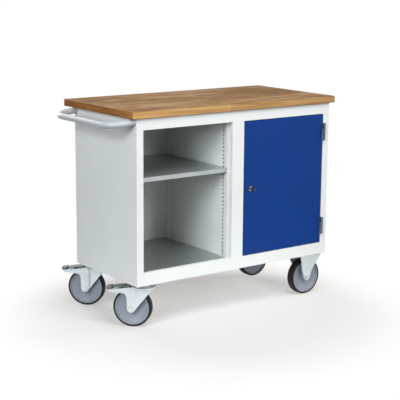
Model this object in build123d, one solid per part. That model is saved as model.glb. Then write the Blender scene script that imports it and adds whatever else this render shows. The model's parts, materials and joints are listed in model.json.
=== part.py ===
"""Mobile steel workbench: an open bay with a shelf, a cupboard with a locking door, four castors.

Every piece is one solid (or a group of identical fasteners) in a STEP file of its own.
Millimetres, +Z up, -Y is the front. The model is drawn from the cabinet's front left corner at
floor level, and each piece is then moved so that the origin is under the middle of the whole bench.
"""
from build123d import *
from math import atan, ceil, cos, radians, sin, sqrt
import os

# ---------------------------------------------------------------- driving dimensions
# Cabinet
CABINET_WIDTH = 1040.0
CABINET_DEPTH = 492.0
CABINET_HEIGHT = 700.0
SHEET = 1.5                  # sheet of the skins and of the front frame
STILE_WIDTH = 32.5           # front frame, left and right
POST_WIDTH = 62.5            # front frame, between the bays
TOP_RAIL_HEIGHT = 48.5
BOTTOM_RAIL_HEIGHT = 52.5
LEFT_OPENING_WIDTH = 456.5
FRAME_DEPTH = 25.0           # returns of the front frame
WALL_INSET = 8.0             # bay walls stand this far inside the frame opening
STRIP_RAISE = 3.0            # perforated strips stand proud of the divider walls
FRONT_UPRIGHT_WIDTH = 56.0
REAR_UPRIGHT_WIDTH = 94.0
HOLE_PITCH = 17.0
HOLE_WIDTH = 10.0
HOLE_HEIGHT = 7.0
FIRST_HOLE_RISE = 11.0       # lowest hole above the bay floor
RELIEF_MARGIN = 1.5          # slot in the divider wall behind a hole column, beyond the holes

# Shelves
SHELF_SHEET = 1.2
SHELF_LIP = 18.5
SHELF_SIDE_GAP = 1.0
SHELF_FRONT_GAP = 1.5        # behind the frame returns
SHELF_BACK_GAP = 3.0
LEFT_SHELF_RISE = 381.0      # underside above the bay floor, before it goes to the nearest hole
RIGHT_SHELF_CLEARANCE = 20.0  # its clips hang at least this far above the lock's strike
CLIP_LENGTH = 14.0
CLIP_WIDTH = 16.0
CLIP_RISE = 13.0             # ledge above the middle of its hole
CLIP_DROP = 5.0
CLIP_SHEET = 2.0
CLIP_TONGUE_GAP = 0.3

# Worktop
TOP_THICKNESS = 30.0
TOP_OVERHANG_SIDE = 25.0
TOP_OVERHANG_FRONT = 11.0
TOP_OVERHANG_BACK = 50.0
TOP_EDGE_CHAMFER = 1.5
SCREW_SHANK_RADIUS = 2.5
SCREW_HEAD_RADIUS = 5.5
SCREW_HEAD_HEIGHT = 3.0
SCREW_BITE = 20.0
SCREW_INSET_X = 100.0
SCREW_INSET_Y = 62.0

# Push handle
HANDLE_TUBE_RADIUS = 13.2
HANDLE_TUBE_WALL = 2.0
HANDLE_REACH = 112.0         # side panel to the middle of the bar, along the tilted arms
HANDLE_BEND_RADIUS = 77.0
HANDLE_END_INSET = 14.0      # middle of each arm from the cabinet's front and back
HANDLE_TILT = 5.7            # degrees below level
HANDLE_DROP = 14.0           # middle of the arm ends below the worktop
INSERT_LENGTH = 22.0
HANDLE_BOLT_RADIUS = 4.0
HANDLE_BOLT_HEAD_RADIUS = 6.5
HANDLE_BOLT_HEAD_HEIGHT = 5.0
HANDLE_BOLT_BITE = 16.0

# Door, hinges and lock
DOOR_GAP = 3.0
DOOR_SHEET = 1.2
DOOR_THICKNESS = 22.0
DOOR_LINER_GAP = 0.2
HINGE_KNUCKLE_RADIUS = 5.5
HINGE_PIN_RADIUS = 3.0
HINGE_RUNNING_GAP = 0.05
HINGE_AXIS_OUTSET = 2.0      # beyond the opening's right edge
HINGE_STANDOFF = 1.0         # knuckle in front of the frame
HINGE_HEIGHT = 78.0
HINGE_DOOR_SHARE = 26.0      # height of the upper knuckle, which is the door's
HINGE_AXIAL_GAP = 0.4
HINGE_END_INSET = 39.5       # from the door's top and bottom edges
HINGE_TAB_THICKNESS = 2.2
HINGE_TAB_REACH = 5.0
HINGE_TAB_RELIEF = 0.4
LOCK_INSET = 33.5            # lock axis from the door's left edge
LOCK_FLANGE_RADIUS = 11.5
LOCK_FLANGE_THICKNESS = 3.0
LOCK_BARREL_RADIUS = 9.5
LOCK_BARREL_LENGTH = 34.0    # behind the door's front face
LOCK_NUT_RADIUS = 14.0
LOCK_NUT_THICKNESS = 4.0
PLUG_RADIUS = 6.0
PLUG_RUNNING_GAP = 0.05
FASTENER_GAP = 0.1           # radial, between a fastener and its hole
CAM_GAP = 1.5                # cam behind the barrel
CAM_THICKNESS = 3.0
CAM_HALF_WIDTH = 7.0
CAM_TIP_GAP = 2.0            # cam's tip to the strike
STRIKE_SHEET = 2.0
STRIKE_REACH = 13.0
STRIKE_DEPTH = 16.0
STRIKE_HEIGHT = 26.0
STRIKE_GAP = 1.0             # in front of the cam
KEYWAY_WIDTH = 2.4
KEYWAY_HEIGHT = 8.6
KEY_THICKNESS = 2.0
KEY_HEIGHT = 8.2
KEY_INSERTION = 20.0
KEY_STEM = 17.0              # from the lock's face to the bow
KEY_BOW_LENGTH = 15.0
KEY_BOW_HEIGHT = 19.0
BUFFER_HEIGHT = 20.0
BUFFER_WIDTH = 4.0
BUFFER_GAP = 0.3

# Castors
WHEEL_RADIUS = 83.0
CROWN_CLEARANCE = 8.0        # wheel to the underside of the fork's crown
RACE_HEIGHT = 16.0           # crown to the castor plate
BASE_RECESS = 6.0            # underside of the base above the lower edge of the panels
TYRE_THICKNESS = 8.5
TYRE_WIDTH = 38.0
TYRE_SHOULDER = 6.0
RIM_THICKNESS = 4.5
RIM_WIDTH = 34.0
WEB_THICKNESS = 22.0
BOSS_RADIUS = 17.0
RIB_COUNT = 20
RIB_THICKNESS = 1.4
RIB_HEIGHT = 24.0
AXLE_RADIUS = 6.0
AXLE_RUNNING_GAP = 0.06
AXLE_HEAD_RADIUS = 11.5
AXLE_HEAD_HEIGHT = 6.0
TYRE_SEAT_GAP = 0.1
FORK_INNER_WIDTH = 48.0
FORK_SHEET = 4.0
BOSS_SIDE_GAP = 0.5
FORK_TIP_RADIUS = 17.0
SWIVEL_OFFSET = 48.0         # wheel axle behind the swivel axis
SWIVEL_INSET_X = 70.0        # swivel axis from the cabinet's left side
CASTOR_INSET_Y = 56.0        # castor axes from the cabinet's front and back
FIXED_INSET_X = 81.0
TRAIL_ANGLE = 132.0          # where the left wheels trail, in degrees from +X
PLATE_LENGTH = 135.0
PLATE_WIDTH = 108.0
PLATE_THICKNESS = 6.0
PLATE_HOLE_SPACING_X = 105.0
PLATE_HOLE_SPACING_Y = 75.0
PLATE_BOLT_RADIUS = 5.0
PLATE_BOLT_HEAD_RADIUS = 8.5
PLATE_BOLT_HEAD_HEIGHT = 6.4
PLATE_NUT_HEIGHT = 8.0
BOLT_TAIL = 2.5
CROWN_RADIUS = 53.0
HEAD_SHARE = 0.92            # cheeks reach this share of the crown's radius ahead of the axis
RACE_RADIUS = 34.0
RACE_GAP = 0.3
KINGPIN_RADIUS = 6.0
KINGPIN_RUNNING_GAP = 0.06
KINGPIN_HEAD_RADIUS = 11.0
KINGPIN_HEAD_HEIGHT = 5.5
ARM_REACH = 96.0             # fork arms behind the axle
ARM_DEPTH = 31.0             # their lower edge below the crown's top, at the leg
ARM_END_DEPTH = 27.0         # and at their end
ARM_END_DROP = 18.5          # their upper edge below the crown's top, at their end
LEG_FRONT = 17.5             # leg strip ahead of and behind the axle
LEG_BACK = 21.0
LEG_PROUD = 6.0              # legs and arms stand out from the cheeks
LEG_SLOPE = 8.0              # sloping front edge of a leg, ahead of the leg
LEG_ARCH_RADIUS = 15.0
FIXED_SPLAY_RISE = 32.0      # above the axle, where the fixed cheeks start to lean out
FIXED_CHEEK_TOP = 122.0      # length of a fixed cheek along the plate
FIXED_PROUD = 3.0            # front part of a fixed cheek stands out from the rest
FIXED_PROUD_END = 12.0       # and ends this far ahead of the axle
CHANNEL_SHEET = 2.0
CHANNEL_MARGIN = 10.0        # castor channel beyond the castor plate

# Brake pedals
PEDAL_WIDTH = 44.0
PEDAL_SHEET = 3.0
PEDAL_RISE = 2.0             # above the crown's top
PEDAL_START = 55.5           # distances behind the swivel axis
PEDAL_NECK = 132.0
PEDAL_END = 162.0
PEDAL_NECK_WIDTH = 28.0
PEDAL_TIP_WIDTH = 40.0
PEDAL_TIP_DEPTH = 12.0
PEDAL_TIP_RISE = 2.0
PEDAL_PIVOT_BACK = 62.0
PEDAL_PIVOT_DROP = 10.0      # below the crown's top
PEDAL_LEAN = 8.0             # degrees that the released pedal hangs down
PEDAL_PRESS = 7.0            # degrees from released to braked
PEDAL_PIN_RADIUS = 3.0
PEDAL_PIN_GAP = 0.05
PEDAL_LUG_THICKNESS = 3.0
PEDAL_LUG_RADIUS = 5.5
SHOE_BACK = 100.0
SHOE_LENGTH = 10.0
SHOE_GAP = 0.4               # to the tyre when braked
SHOE_WIDTH = 26.0

# ---------------------------------------------------------------- derived levels and places
CROWN_TOP = 2 * WHEEL_RADIUS + CROWN_CLEARANCE + FORK_SHEET
PLATE_BOTTOM = CROWN_TOP + RACE_HEIGHT
PLATE_TOP = PLATE_BOTTOM + PLATE_THICKNESS
BASE_TOP = PLATE_TOP + SHEET
BASE_Z = PLATE_TOP - BASE_RECESS
ROOF_Z = BASE_Z + CABINET_HEIGHT
OPENING_BOTTOM = BASE_Z + BOTTOM_RAIL_HEIGHT
OPENING_TOP = ROOF_Z - TOP_RAIL_HEIGHT
FLOOR_TOP = OPENING_BOTTOM - SHEET
POST_LEFT = STILE_WIDTH + LEFT_OPENING_WIDTH
POST_RIGHT = POST_LEFT + POST_WIDTH
RIGHT_OPENING_END = CABINET_WIDTH - STILE_WIDTH
INNER_BACK = CABINET_DEPTH - SHEET
LEFT_BAY = (STILE_WIDTH + WALL_INSET, POST_LEFT - WALL_INSET)
RIGHT_BAY = (POST_RIGHT + WALL_INSET, RIGHT_OPENING_END - WALL_INSET)
DIVIDER_LEFT = LEFT_BAY[1] + STRIP_RAISE
DIVIDER_RIGHT = RIGHT_BAY[0] - STRIP_RAISE
FRONT_UPRIGHT = (FRAME_DEPTH, FRAME_DEPTH + FRONT_UPRIGHT_WIDTH)
REAR_UPRIGHT = (INNER_BACK - REAR_UPRIGHT_WIDTH, INNER_BACK)
UPRIGHT_TOP = ROOF_Z - SHEET
HOLE_TOP_LIMIT = OPENING_TOP - HOLE_HEIGHT
HOLE_ROWS = int((HOLE_TOP_LIMIT - FLOOR_TOP - FIRST_HOLE_RISE) // HOLE_PITCH) + 1
LEFT_SHELF_ROW = round((LEFT_SHELF_RISE - CLIP_RISE - FIRST_HOLE_RISE) / HOLE_PITCH)

HANDLE_Z = ROOF_Z - HANDLE_DROP
HANDLE_OUTER = HANDLE_REACH * cos(radians(HANDLE_TILT)) + HANDLE_TUBE_RADIUS

DOOR_LEFT = POST_RIGHT + DOOR_GAP
DOOR_RIGHT = RIGHT_OPENING_END - DOOR_GAP
DOOR_BOTTOM = OPENING_BOTTOM + DOOR_GAP
DOOR_TOP = OPENING_TOP - DOOR_GAP
HINGE_X = RIGHT_OPENING_END + HINGE_AXIS_OUTSET
HINGE_Y = -HINGE_STANDOFF - HINGE_KNUCKLE_RADIUS
HINGE_BOTTOMS = (DOOR_BOTTOM + HINGE_END_INSET, DOOR_TOP - HINGE_END_INSET - HINGE_HEIGHT)
LOCK_X = DOOR_LEFT + LOCK_INSET
LOCK_Z = (DOOR_BOTTOM + DOOR_TOP) / 2
STRIKE_TOP = LOCK_Z + STRIKE_HEIGHT / 2
RIGHT_SHELF_RISE = STRIKE_TOP + RIGHT_SHELF_CLEARANCE + CLIP_DROP - FLOOR_TOP
RIGHT_SHELF_ROW = ceil((RIGHT_SHELF_RISE - FIRST_HOLE_RISE) / HOLE_PITCH)
CAM_Y = LOCK_BARREL_LENGTH + CAM_GAP
CAM_REACH = LOCK_X - RIGHT_BAY[0] - STRIKE_SHEET - CAM_TIP_GAP
KEY_FRONT = LOCK_FLANGE_THICKNESS + KEY_STEM + KEY_BOW_LENGTH

HUB_RADIUS = WHEEL_RADIUS - TYRE_THICKNESS
ARM_BOTTOM = CROWN_TOP - ARM_DEPTH
ARM_TIP_TOP = CROWN_TOP - ARM_END_DROP
ARM_TIP_BOTTOM = CROWN_TOP - ARM_END_DEPTH
FIXED_SPLAY_START = WHEEL_RADIUS + FIXED_SPLAY_RISE
PEDAL_TOP = CROWN_TOP + PEDAL_RISE
PEDAL_PIVOT_HEIGHT = CROWN_TOP - PEDAL_PIVOT_DROP
PEDAL_CORNER = (PEDAL_END - PEDAL_NECK) * 0.4
FORK_HALF = FORK_INNER_WIDTH / 2 + FORK_SHEET
LEFT_SWIVELS = (CASTOR_INSET_Y, CABINET_DEPTH - CASTOR_INSET_Y)
FIXED_X = CABINET_WIDTH - FIXED_INSET_X

# Middle of the whole bench: push handle to worktop edge, key to rear pedal tip or worktop edge.
TRAIL = radians(TRAIL_ANGLE)
LEAN = radians(PEDAL_LEAN)
PEDAL_BACK = PEDAL_PIVOT_BACK * sin(TRAIL)
PEDAL_BACK += (PEDAL_END - PEDAL_CORNER - PEDAL_PIVOT_BACK) * sin(TRAIL) * cos(LEAN)
PEDAL_BACK += (PEDAL_TOP - PEDAL_PIVOT_HEIGHT) * sin(TRAIL) * sin(LEAN)
PEDAL_BACK += (PEDAL_TIP_WIDTH / 2 - PEDAL_CORNER) * abs(cos(TRAIL))
PEDAL_BACK += (PEDAL_CORNER - PEDAL_TIP_RISE) * sqrt(1 - (sin(TRAIL) * sin(LEAN))**2) + PEDAL_TIP_RISE
REARMOST = max(CABINET_DEPTH + TOP_OVERHANG_BACK, LEFT_SWIVELS[1] + PEDAL_BACK)
MIDDLE_X = (CABINET_WIDTH + TOP_OVERHANG_SIDE - HANDLE_OUTER) / 2
MIDDLE_Y = (REARMOST - KEY_FRONT) / 2


# ---------------------------------------------------------------- helpers
def block(x, y, z):
    """Box between two limits on each axis."""
    size = Box(x[1] - x[0], y[1] - y[0], z[1] - z[0])
    return Pos((x[0] + x[1]) / 2, (y[0] + y[1]) / 2, (z[0] + z[1]) / 2) * size


def rod(start, direction, radius, length):
    """Cylinder from a point along a direction."""
    bottom = (Align.CENTER, Align.CENTER, Align.MIN)
    return Plane(origin=start, z_dir=direction) * Cylinder(radius, length, align=bottom)


def hexagon(start, direction, radius, length):
    """Hexagonal bolt head or nut from a point along a direction."""
    return extrude(Plane(origin=start, z_dir=direction) * RegularPolygon(radius, 6), length)


def outline(points, plane, depth):
    """Straight-sided plate: a closed outline drawn on a plane and given a depth."""
    return extrude(plane * make_face(Polyline(*points, close=True)), depth)


def save(name, *pieces):
    """Move the pieces to the bench's origin and write them as one node."""
    solids = []
    for piece in pieces:
        solids.extend(piece.moved(Location((-MIDDLE_X, -MIDDLE_Y, 0))).solids())
    shape = solids[0] if len(solids) == 1 else Compound(children=solids)
    export_step(shape, f"parts/{name}.step")


# ---------------------------------------------------------------- cabinet shell
def front_rail(low, high, return_low):
    """Full-width front rail: a face and a return along one edge."""
    face = block((0, CABINET_WIDTH), (0, SHEET), (low, high))
    inner = (SHEET, CABINET_WIDTH - SHEET)
    return face + block(inner, (SHEET, FRAME_DEPTH), (return_low, return_low + SHEET))


def front_upright_member(x, returns):
    """Stile or post: a face with a return at each of the given left edges."""
    height = (OPENING_BOTTOM, OPENING_TOP)
    member = block(x, (0, SHEET), height)
    for left in returns:
        member += block((left, left + SHEET), (SHEET, FRAME_DEPTH), height)
    return member


def hole_row_z(row):
    return FLOOR_TOP + FIRST_HOLE_RISE + row * HOLE_PITCH


def divider_wall(wall_x, flange_x):
    """Bay wall of the divider: a front flange behind the centre post, slots behind the holes."""
    height = (BASE_TOP, UPRIGHT_TOP)
    wall = block(wall_x, (FRAME_DEPTH, INNER_BACK), height)
    wall += block(flange_x, (FRAME_DEPTH, FRAME_DEPTH + SHEET), (OPENING_BOTTOM, OPENING_TOP))
    beyond = HOLE_HEIGHT / 2 + RELIEF_MARGIN
    slot_z = (hole_row_z(0) - beyond, hole_row_z(HOLE_ROWS - 1) + beyond)
    half = HOLE_WIDTH / 2 + RELIEF_MARGIN
    for y in (FRONT_UPRIGHT, REAR_UPRIGHT):
        middle = (y[0] + y[1]) / 2
        wall -= block(wall_x, (middle - half, middle + half), slot_z)
    return wall


def perforations(x, y):
    """Column of shelf holes through a strip of the given X and Y limits."""
    middle = (y[0] + y[1]) / 2
    across = (middle - HOLE_WIDTH / 2, middle + HOLE_WIDTH / 2)
    holes = []
    for row in range(HOLE_ROWS):
        z = hole_row_z(row)
        holes.append(block(x, across, (z - HOLE_HEIGHT / 2, z + HOLE_HEIGHT / 2)))
    return holes


def upright(face_x, back_x, y):
    """Perforated upright: a web at the bay and two flanges back to the wall behind it."""
    inward = SHEET if back_x > face_x else -SHEET
    web_x = sorted((face_x, face_x + inward))
    height = (FLOOR_TOP, UPRIGHT_TOP)
    web = block(web_x, y, height) - perforations(web_x, y)
    flange_x = sorted((face_x + inward, back_x))
    front = block(flange_x, (y[0], y[0] + SHEET), height)
    back = block(flange_x, (y[1] - SHEET, y[1]), height)
    return web + front + back


def castor_channel(x):
    """Channel above a pair of castors, open upwards under the bay floor."""
    y = (SHEET, INNER_BACK)
    channel = block(x, y, (BASE_TOP, BASE_TOP + CHANNEL_SHEET))
    webs = (BASE_TOP + CHANNEL_SHEET, FLOOR_TOP - SHEET)
    channel += block((x[0], x[0] + CHANNEL_SHEET), y, webs)
    return channel + block((x[1] - CHANNEL_SHEET, x[1]), y, webs)


def castor_bolt_places():
    """Middles of the sixteen castor bolts."""
    places = []
    for axis_x in (SWIVEL_INSET_X, FIXED_X):
        for axis_y in LEFT_SWIVELS:
            for side_x in (-0.5, 0.5):
                for side_y in (-0.5, 0.5):
                    x = axis_x + side_x * PLATE_HOLE_SPACING_X
                    places.append((x, axis_y + side_y * PLATE_HOLE_SPACING_Y))
    return places


def bolt_holes(bottom, top):
    radius = PLATE_BOLT_RADIUS + FASTENER_GAP
    return [rod((x, y, bottom), (0, 0, 1), radius, top - bottom) for x, y in castor_bolt_places()]


def build_shell():
    height = (BASE_Z, ROOF_Z)
    inside_x = (SHEET, CABINET_WIDTH - SHEET)
    inside_y = (SHEET, INNER_BACK)
    handle_holes = handle_bolt_holes()
    left = block((0, SHEET), (SHEET, CABINET_DEPTH), height) - handle_holes
    save("left_side_panel", left)
    save("right_side_panel", block((inside_x[1], CABINET_WIDTH), (SHEET, CABINET_DEPTH), height))
    save("back_panel", block(inside_x, (INNER_BACK, CABINET_DEPTH), height))

    top_panel = block(inside_x, inside_y, (UPRIGHT_TOP, ROOF_Z))
    screw_radius = SCREW_SHANK_RADIUS + FASTENER_GAP
    screws = [rod((x, y, UPRIGHT_TOP), (0, 0, 1), screw_radius, SHEET) for x, y in screw_places()]
    save("top_panel", top_panel - screws)

    base = block(inside_x, inside_y, (PLATE_TOP, BASE_TOP)) - bolt_holes(PLATE_TOP, BASE_TOP)
    save("base_panel", base)

    floor = (FLOOR_TOP - SHEET, FLOOR_TOP)
    save("left_bay_floor", block((SHEET, DIVIDER_LEFT), inside_y, floor))
    save("right_bay_floor", block((DIVIDER_RIGHT, inside_x[1]), inside_y, floor))

    margin = PLATE_LENGTH / 2 + CHANNEL_MARGIN
    channels = [castor_channel((SHEET, SWIVEL_INSET_X + margin)),
                castor_channel((FIXED_X - margin, inside_x[1]))]
    holes = bolt_holes(BASE_TOP, BASE_TOP + CHANNEL_SHEET)
    save("castor_channels", *[channel - holes for channel in channels])

    save("front_top_rail", front_rail(OPENING_TOP, ROOF_Z, OPENING_TOP))
    save("front_bottom_rail", front_rail(BASE_Z, OPENING_BOTTOM, FLOOR_TOP))
    save("left_stile", front_upright_member((0, STILE_WIDTH), (STILE_WIDTH - SHEET,)))
    right_x = (RIGHT_OPENING_END, CABINET_WIDTH)
    save("right_stile", front_upright_member(right_x, (RIGHT_OPENING_END,)))
    post_returns = (POST_LEFT, POST_RIGHT - SHEET)
    save("centre_post", front_upright_member((POST_LEFT, POST_RIGHT), post_returns))

    left_wall = divider_wall((DIVIDER_LEFT, DIVIDER_LEFT + SHEET), (DIVIDER_LEFT, POST_LEFT + SHEET))
    right_wall = divider_wall((DIVIDER_RIGHT - SHEET, DIVIDER_RIGHT),
                              (POST_RIGHT - SHEET, DIVIDER_RIGHT))
    save("left_divider_wall", left_wall)
    save("right_divider_wall", right_wall)


def build_uprights():
    outer_right = CABINET_WIDTH - SHEET
    side_uprights = []
    divider_strips = []
    for y in (FRONT_UPRIGHT, REAR_UPRIGHT):
        side_uprights.append(upright(LEFT_BAY[0], SHEET, y))
        side_uprights.append(upright(RIGHT_BAY[1], outer_right, y))
        divider_strips.append(upright(LEFT_BAY[1], DIVIDER_LEFT, y))
        divider_strips.append(upright(RIGHT_BAY[0], DIVIDER_RIGHT, y))
    save("side_uprights", *side_uprights)
    save("divider_strips", *divider_strips)


# ---------------------------------------------------------------- shelves and clips
def shelf(bay, row):
    """Folded tray shelf, open downwards, standing on its clips."""
    bottom = hole_row_z(row) + CLIP_RISE
    x = (bay[0] + SHELF_SIDE_GAP, bay[1] - SHELF_SIDE_GAP)
    y = (FRAME_DEPTH + SHELF_FRONT_GAP, INNER_BACK - SHELF_BACK_GAP)
    tray = block(x, y, (bottom, bottom + SHELF_LIP))
    inner_x = (x[0] + SHELF_SHEET, x[1] - SHELF_SHEET)
    inner_y = (y[0] + SHELF_SHEET, y[1] - SHELF_SHEET)
    return tray - block(inner_x, inner_y, (bottom, bottom + SHELF_LIP - SHELF_SHEET))


def clip(face_x, inward, y, row):
    """Shelf clip: a bent plate with a ledge in the bay and a tongue through the upright's hole."""
    z = hole_row_z(row)
    middle = (y[0] + y[1]) / 2
    across = (middle - CLIP_WIDTH / 2, middle + CLIP_WIDTH / 2)
    plate_x = sorted((face_x, face_x + inward * CLIP_SHEET))
    ledge_x = sorted((face_x, face_x + inward * CLIP_LENGTH))
    ledge = block(plate_x, across, (z - CLIP_DROP, z + CLIP_RISE))
    ledge += block(ledge_x, across, (z + CLIP_RISE - CLIP_SHEET, z + CLIP_RISE))
    tongue_x = sorted((face_x, face_x - inward * SHEET))
    half_width = HOLE_WIDTH / 2 - CLIP_TONGUE_GAP
    half_height = HOLE_HEIGHT / 2 - CLIP_TONGUE_GAP
    tongue_y = (middle - half_width, middle + half_width)
    return ledge + block(tongue_x, tongue_y, (z - half_height, z + half_height))


def build_shelves():
    save("left_shelf", shelf(LEFT_BAY, LEFT_SHELF_ROW))
    save("right_shelf", shelf(RIGHT_BAY, RIGHT_SHELF_ROW))
    clips = []
    for bay, row in ((LEFT_BAY, LEFT_SHELF_ROW), (RIGHT_BAY, RIGHT_SHELF_ROW)):
        for y in (FRONT_UPRIGHT, REAR_UPRIGHT):
            clips.append(clip(bay[0], 1, y, row))
            clips.append(clip(bay[1], -1, y, row))
    save("shelf_clips", *clips)


# ---------------------------------------------------------------- worktop
def screw_places():
    """Six places under the worktop, two rows of three."""
    xs = (SCREW_INSET_X, CABINET_WIDTH / 2, CABINET_WIDTH - SCREW_INSET_X)
    ys = (SCREW_INSET_Y, CABINET_DEPTH - SCREW_INSET_Y)
    return [(x, y) for x in xs for y in ys]


def build_worktop():
    x = (-TOP_OVERHANG_SIDE, CABINET_WIDTH + TOP_OVERHANG_SIDE)
    y = (-TOP_OVERHANG_FRONT, CABINET_DEPTH + TOP_OVERHANG_BACK)
    board = block(x, y, (ROOF_Z, ROOF_Z + TOP_THICKNESS))
    board = chamfer(board.edges(), TOP_EDGE_CHAMFER)
    up = (0, 0, 1)
    hole = SCREW_SHANK_RADIUS + FASTENER_GAP
    board -= [rod((x, y, ROOF_Z), up, hole, SCREW_BITE + FASTENER_GAP) for x, y in screw_places()]
    save("worktop", board)

    screws = []
    for x, y in screw_places():
        head = rod((x, y, UPRIGHT_TOP - SCREW_HEAD_HEIGHT), up, SCREW_HEAD_RADIUS, SCREW_HEAD_HEIGHT)
        screws.append(head + rod((x, y, UPRIGHT_TOP), up, SCREW_SHANK_RADIUS, SHEET + SCREW_BITE))
    save("worktop_screws", *screws)


# ---------------------------------------------------------------- push handle
def handle_ends():
    return (HANDLE_END_INSET, CABINET_DEPTH - HANDLE_END_INSET)


def handle_bolt_holes():
    radius = HANDLE_BOLT_RADIUS + FASTENER_GAP
    return [rod((0, y, HANDLE_Z), (1, 0, 0), radius, SHEET) for y in handle_ends()]


def outside_only(shape):
    """The part of a handle piece that lies outside the left side panel."""
    room = 4 * HANDLE_TUBE_RADIUS
    inside = block((0, room), (-room, CABINET_DEPTH + room), (HANDLE_Z - room, HANDLE_Z + room))
    return shape - inside


def build_handle():
    front, back = handle_ends()
    out = (-cos(radians(HANDLE_TILT)), -sin(radians(HANDLE_TILT)))
    start = -HANDLE_TUBE_RADIUS      # the arms are drawn a little long and then cut at the panel

    def arm_point(distance, y):
        return (out[0] * distance, y, HANDLE_Z + out[1] * distance)

    corners = [arm_point(start, front), arm_point(HANDLE_REACH, front),
               arm_point(HANDLE_REACH, back), arm_point(start, back)]
    path = FilletPolyline(*corners, radius=HANDLE_BEND_RADIUS)
    section = Plane(origin=path @ 0, z_dir=path % 0)
    outer = sweep(section * Circle(HANDLE_TUBE_RADIUS), path)
    inner_radius = HANDLE_TUBE_RADIUS - HANDLE_TUBE_WALL
    tube = outer - sweep(section * Circle(inner_radius), path)
    save("push_handle", outside_only(tube))

    inserts = []
    bolts = []
    for y in (front, back):
        slug = rod(arm_point(start, y), (out[0], 0, out[1]), inner_radius - FASTENER_GAP,
                   INSERT_LENGTH - start)
        hole = rod((0, y, HANDLE_Z), (-1, 0, 0), HANDLE_BOLT_RADIUS + FASTENER_GAP, HANDLE_BOLT_BITE)
        inserts.append(outside_only(slug) - hole)
        length = SHEET + HANDLE_BOLT_BITE - FASTENER_GAP
        shank = rod((SHEET, y, HANDLE_Z), (-1, 0, 0), HANDLE_BOLT_RADIUS, length)
        head = hexagon((SHEET, y, HANDLE_Z), (1, 0, 0), HANDLE_BOLT_HEAD_RADIUS,
                       HANDLE_BOLT_HEAD_HEIGHT)
        bolts.append(shank + head)
    save("handle_inserts", *inserts)
    save("handle_bolts", *bolts)


# ---------------------------------------------------------------- door, hinges and lock
def lock_bore(radius, start, length):
    return rod((LOCK_X, start, LOCK_Z), (0, 1, 0), radius, length)


def build_door():
    x = (DOOR_LEFT, DOOR_RIGHT)
    z = (DOOR_BOTTOM, DOOR_TOP)
    barrel_hole = lock_bore(LOCK_BARREL_RADIUS + FASTENER_GAP, 0, DOOR_THICKNESS)
    skin = block(x, (0, DOOR_THICKNESS), z)
    inner_x = (x[0] + DOOR_SHEET, x[1] - DOOR_SHEET)
    inner_z = (z[0] + DOOR_SHEET, z[1] - DOOR_SHEET)
    skin -= block(inner_x, (DOOR_SHEET, DOOR_THICKNESS), inner_z)
    save("door_skin", skin - barrel_hole)

    liner_x = (inner_x[0] + DOOR_LINER_GAP, inner_x[1] - DOOR_LINER_GAP)
    liner_z = (inner_z[0] + DOOR_LINER_GAP, inner_z[1] - DOOR_LINER_GAP)
    liner = block(liner_x, (DOOR_SHEET, DOOR_THICKNESS), liner_z)
    hollow_x = (liner_x[0] + DOOR_SHEET, liner_x[1] - DOOR_SHEET)
    hollow_z = (liner_z[0] + DOOR_SHEET, liner_z[1] - DOOR_SHEET)
    liner -= block(hollow_x, (DOOR_SHEET, DOOR_THICKNESS - DOOR_SHEET), hollow_z)
    save("door_liner", liner - barrel_hole)

    buffer_y = (DOOR_THICKNESS + BUFFER_GAP, FRAME_DEPTH)
    buffer_x = (DIVIDER_RIGHT - BUFFER_WIDTH / 2, RIGHT_BAY[0] - SHEET)
    buffers = []
    for middle in (DOOR_BOTTOM + HINGE_END_INSET, DOOR_TOP - HINGE_END_INSET):
        height = (middle - BUFFER_HEIGHT / 2, middle + BUFFER_HEIGHT / 2)
        buffers.append(block(buffer_x, buffer_y, height))
    save("door_buffers", *buffers)


def knuckle(bottom, height):
    """Hinge knuckle around the pin, not yet bored."""
    return rod((HINGE_X, HINGE_Y, bottom), (0, 0, 1), HINGE_KNUCKLE_RADIUS, height)


def build_hinges():
    bore_radius = HINGE_PIN_RADIUS + HINGE_RUNNING_GAP
    frame_height = HINGE_HEIGHT - HINGE_DOOR_SHARE - HINGE_AXIAL_GAP
    frame_leaves = []
    door_leaves = []
    pins = []
    for bottom in HINGE_BOTTOMS:
        door_bottom = bottom + frame_height + HINGE_AXIAL_GAP
        top = bottom + HINGE_HEIGHT
        bore = rod((HINGE_X, HINGE_Y, bottom), (0, 0, 1), bore_radius, HINGE_HEIGHT)
        frame_tab = block((HINGE_X, HINGE_X + HINGE_TAB_REACH), (HINGE_Y, 0),
                          (bottom, bottom + frame_height))
        frame_leaves.append(knuckle(bottom, frame_height) + frame_tab - bore)
        tab_z = (door_bottom, top)
        tab = block((DOOR_RIGHT - HINGE_TAB_REACH, HINGE_X), (-HINGE_TAB_THICKNESS, 0), tab_z)
        tab -= block((DOOR_RIGHT, HINGE_X), (-HINGE_TAB_RELIEF, 0), tab_z)
        door_leaves.append(knuckle(door_bottom, HINGE_DOOR_SHARE) + tab - bore)
        pins.append(rod((HINGE_X, HINGE_Y, bottom), (0, 0, 1), HINGE_PIN_RADIUS, HINGE_HEIGHT))
    save("hinge_frame_leaves", *frame_leaves)
    save("hinge_door_leaves", *door_leaves)
    save("hinge_pins", *pins)


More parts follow.
